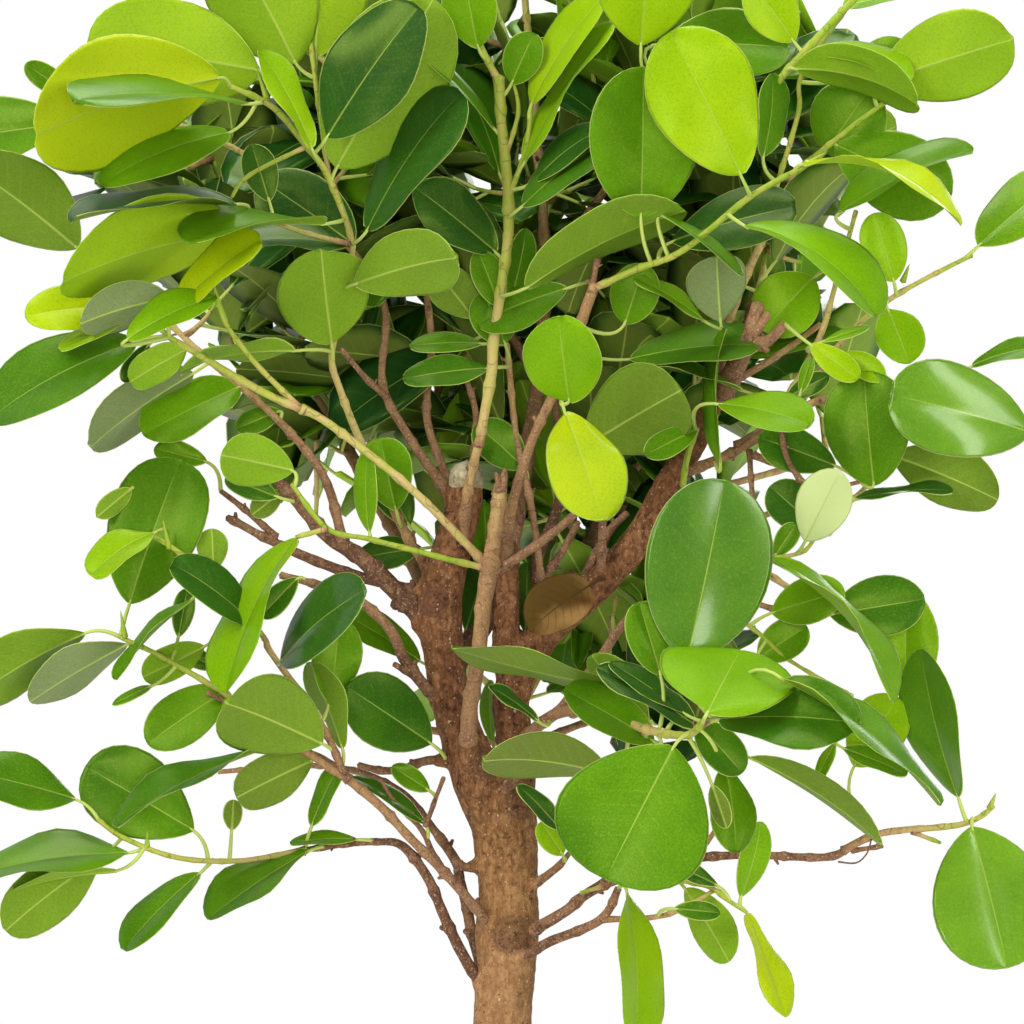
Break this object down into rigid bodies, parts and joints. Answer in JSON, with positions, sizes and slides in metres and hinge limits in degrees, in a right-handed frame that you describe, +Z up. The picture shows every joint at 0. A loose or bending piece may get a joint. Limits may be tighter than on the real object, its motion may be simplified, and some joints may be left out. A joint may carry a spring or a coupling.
{
  "type": "potted ficus",
  "caption": "Round-leaved ficus grown as a small standard: a clear stem with a forked, leafy crown, standing in a plain round pot of soil.",
  "frame": {"origin": "centre of the pot's flat underside, under the trunk", "axes": "+Z up along the trunk; the plant's front faces -Y and +X is to its right as seen from the front"},
  "size_m": [0.5115, 0.3832, 0.9476],
  "materials": {
    "fired_clay": "matte",
    "potting_soil": "matte",
    "bark": "matte",
    "green_stem": "satin",
    "leaf_green": "satin",
    "leaf_lime": "satin"
  },
  "bodies": {
    "root": {"bough_rear_left": "bark", "bough_rear_low": "bark", "bough_rear_right": "bark", "bough_top": "bark", "leaf_dark_high": "leaf_lime", "leaf_drooping": "leaf_green", "leaf_glossy": "leaf_green", "leaf_green_centre": "leaf_green", "leaf_green_high": "leaf_lime", "leaf_left_crown": "leaf_green", "leaf_left_dark": "leaf_green", "leaf_left_edge_high": "leaf_lime", "leaf_left_edge_mid": "leaf_green", "leaf_left_foot": "leaf_green", "leaf_left_heart": "leaf_green", "leaf_left_high": "leaf_lime", "leaf_left_high_rear": "leaf_lime", "leaf_left_low": "leaf_green", "leaf_left_mid": "leaf_green", "leaf_left_reach": "leaf_green", "leaf_lime_centre": "leaf_lime", "leaf_lime_front": "leaf_lime", "leaf_lime_high": "leaf_lime", "leaf_rear_left": "leaf_green", "leaf_rear_low": "leaf_green", "leaf_rear_right": "leaf_green", "leaf_right_arch": "leaf_green", "leaf_right_glossy": "leaf_green", "leaf_right_high": "leaf_lime", "leaf_right_low": "leaf_green", "leaf_right_rear": "leaf_green", "leaf_right_side": "leaf_green", "leaf_right_tall": "leaf_green", "leaf_right_under": "leaf_green", "leaf_round_low": "leaf_green", "leaf_top_centre": "leaf_green", "leaf_top_left": "leaf_green", "leaf_top_right": "leaf_green", "leaf_under_front": "leaf_green", "leaf_under_low": "leaf_green", "limb_left": "bark", "pot": "fired_clay", "shoot_centre": "green_stem", "shoot_front": "green_stem", "shoot_left": "green_stem", "shoot_left_upper": "green_stem", "shoot_right": "green_stem", "soil": "potting_soil", "stem_left_inner": "green_stem", "stem_left_long": "green_stem", "stem_left_low": "green_stem", "stem_left_rear": "green_stem", "stem_left_spur": "green_stem", "stem_right_fork": "green_stem", "stem_right_inner": "green_stem", "stem_right_low": "green_stem", "stem_right_mid": "green_stem", "stem_right_upper": "green_stem", "trunk": "bark"}
  },
  "joints": []
}
